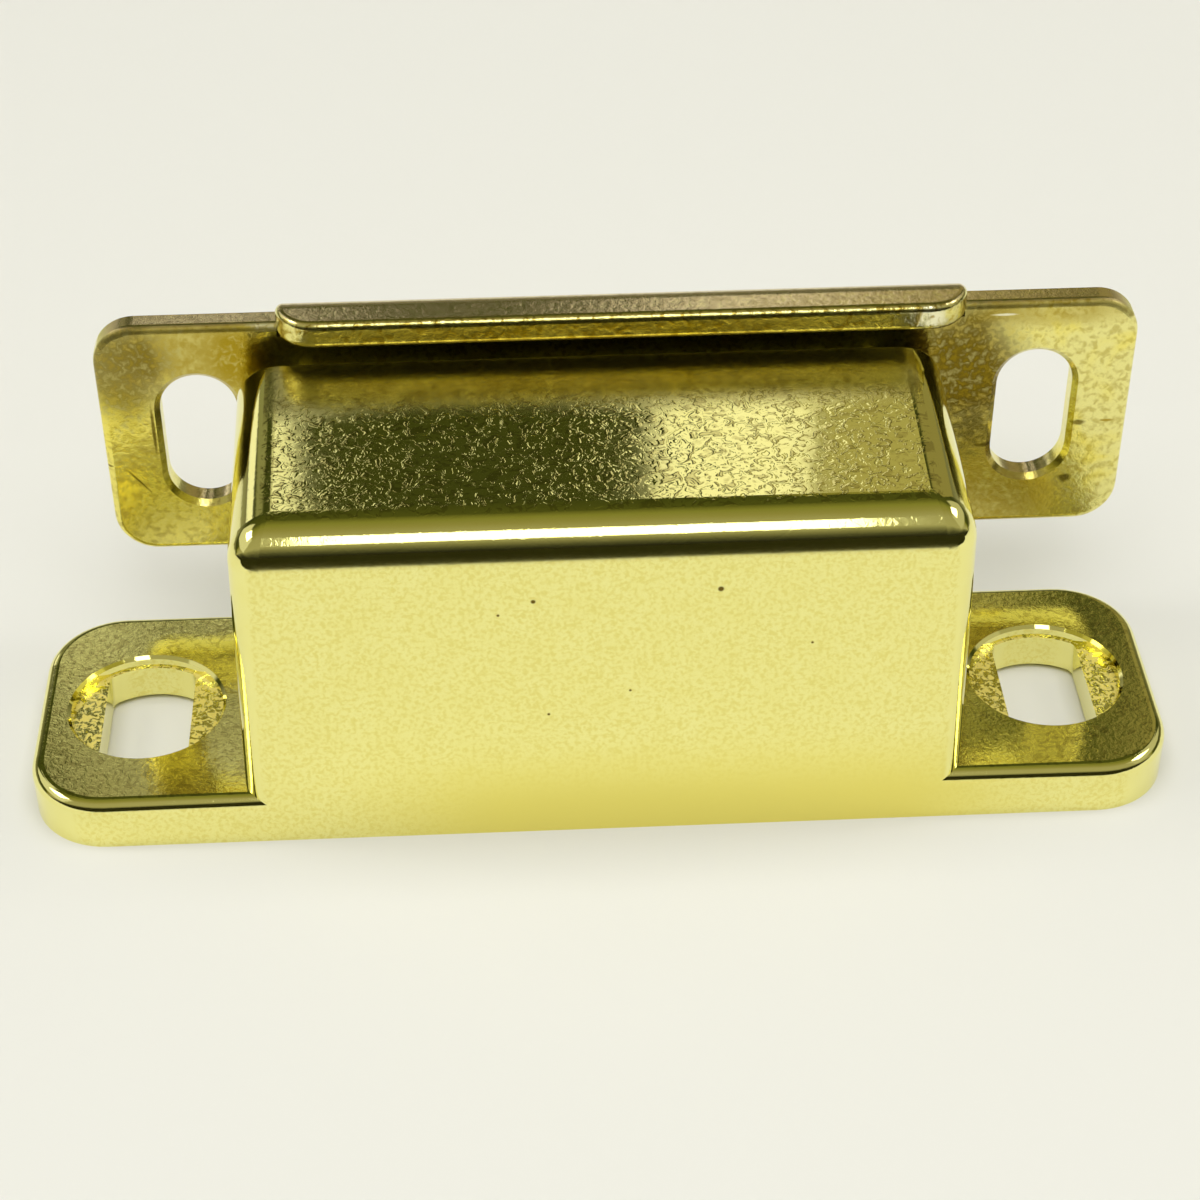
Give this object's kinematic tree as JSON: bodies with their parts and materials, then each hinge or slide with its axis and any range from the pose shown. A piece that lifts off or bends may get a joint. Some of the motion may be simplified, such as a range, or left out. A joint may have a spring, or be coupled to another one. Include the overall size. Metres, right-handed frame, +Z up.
{
  "type": "magnetic catch",
  "caption": "Heavy magnetic cabinet catch: brass-plated die-cast housing on a base with slotted screw ears, and the folded strike plate that clings to its back.",
  "frame": {"origin": "middle of the mounting face, midway between the two screw slots of the base", "axes": "+X along the base from ear to ear, +Y out of the magnet side towards the strike plate, +Z up off the mounting face"},
  "size_m": [0.073, 0.0222, 0.027],
  "materials": {
    "plated_casting": "bright brass plate over a die casting, with a fine cast bump on the faces",
    "plated_sheet": "bright brass plate over pressed sheet steel, slightly mottled",
    "ferrite": "matt ground ceramic magnet",
    "pole_steel": "zinc-plated mild steel",
    "pin_steel": "oiled spring steel"
  },
  "bodies": {
    "catch": {"housing": "plated_casting", "magnet_left": "ferrite", "magnet_right": "ferrite", "pole_plate_lower": "pole_steel", "pole_plate_upper": "pole_steel", "spring_pin": "pin_steel"},
    "strike": {"strike_plate": "plated_sheet"}
  },
  "joints": [
    {"name": "strike_pull", "type": "slide", "parent": "catch", "child": "strike", "axis": [0, 1, 0], "range_m": [0, 0.025]}
  ]
}
